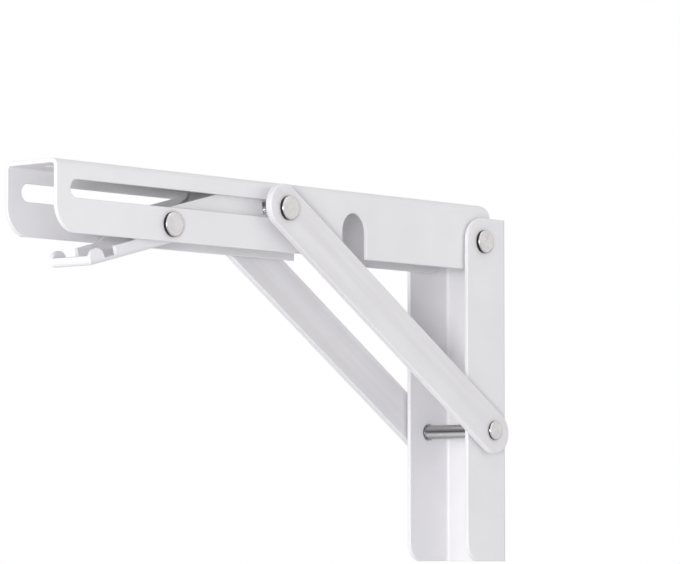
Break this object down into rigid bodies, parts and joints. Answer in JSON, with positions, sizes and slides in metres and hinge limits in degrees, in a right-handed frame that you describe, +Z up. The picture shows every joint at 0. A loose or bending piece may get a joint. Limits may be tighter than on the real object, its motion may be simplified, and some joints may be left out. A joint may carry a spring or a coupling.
{
  "type": "folding shelf bracket",
  "caption": "Folding shelf bracket: U-channel arm, paired braces and a wall rail, with sliding pins in slots and a spring release lever under the arm.",
  "frame": {"origin": "middle of the wall rail's back face, on the wall and in the bracket's middle plane", "axes": "+X into the wall, the arm reaches out along -X; Y across the bracket, near side at -Y; +Z up"},
  "size_m": [0.302, 0.052, 0.1715],
  "materials": {
    "powder_coat": "semi-gloss powder coat",
    "plated_steel": "bright plated",
    "spring_steel": "drawn wire",
    "bush_plastic": "matte"
  },
  "bodies": {
    "wall": {"wall_rail": "powder_coat", "hinge_pin": "plated_steel", "hinge_washer_near": "plated_steel", "hinge_washer_far": "plated_steel", "lower_axle": "plated_steel", "axle_collar_near": "plated_steel", "axle_collar_far": "plated_steel", "brace_washer_near": "plated_steel", "brace_washer_far": "plated_steel"},
    "arm": {"arm_rail": "powder_coat", "lever_pin": "plated_steel", "lever_bush_near": "bush_plastic", "lever_bush_far": "bush_plastic", "cross_pin": "plated_steel"},
    "release_lever": {"release_lever": "powder_coat", "lever_spring": "spring_steel"},
    "braces": {"brace_near": "powder_coat", "brace_far": "powder_coat", "brace_rivet_near": "plated_steel", "brace_rivet_far": "plated_steel"},
    "slide_pins": {"slide_pin_near": "plated_steel", "slide_pin_far": "plated_steel", "slide_spacer_near": "plated_steel", "slide_spacer_far": "plated_steel"}
  },
  "joints": [
    {"name": "fold", "type": "hinge", "parent": "wall", "child": "arm", "pos_m": [-0.0184, 0, 0.071], "axis": [0, -1, 0], "range_deg": [0, 90]},
    {"name": "braces_swing", "type": "hinge", "parent": "wall", "child": "braces", "pos_m": [-0.0168, 0, -0.02], "axis": [0, -1, 0], "range_deg": [0, 120.9]},
    {"name": "pins_slide", "type": "slide", "parent": "arm", "child": "slide_pins", "axis": [-1, 0, 0], "range_m": [0, 0.1218]},
    {"name": "lever_press", "type": "hinge", "parent": "arm", "child": "release_lever", "pos_m": [-0.2314, 0, 0.0651], "axis": [0, 1, 0], "range_deg": [0, 14.5], "stiffness_Nm_per_rad": 0.12, "springref_deg": -28.65}
  ],
  "couplings": [
    {"joint": "braces_swing", "follows": "fold", "ratio": 1.3429},
    {"joint": "pins_slide", "follows": "fold", "m_per_rad": 0.077193}
  ]
}
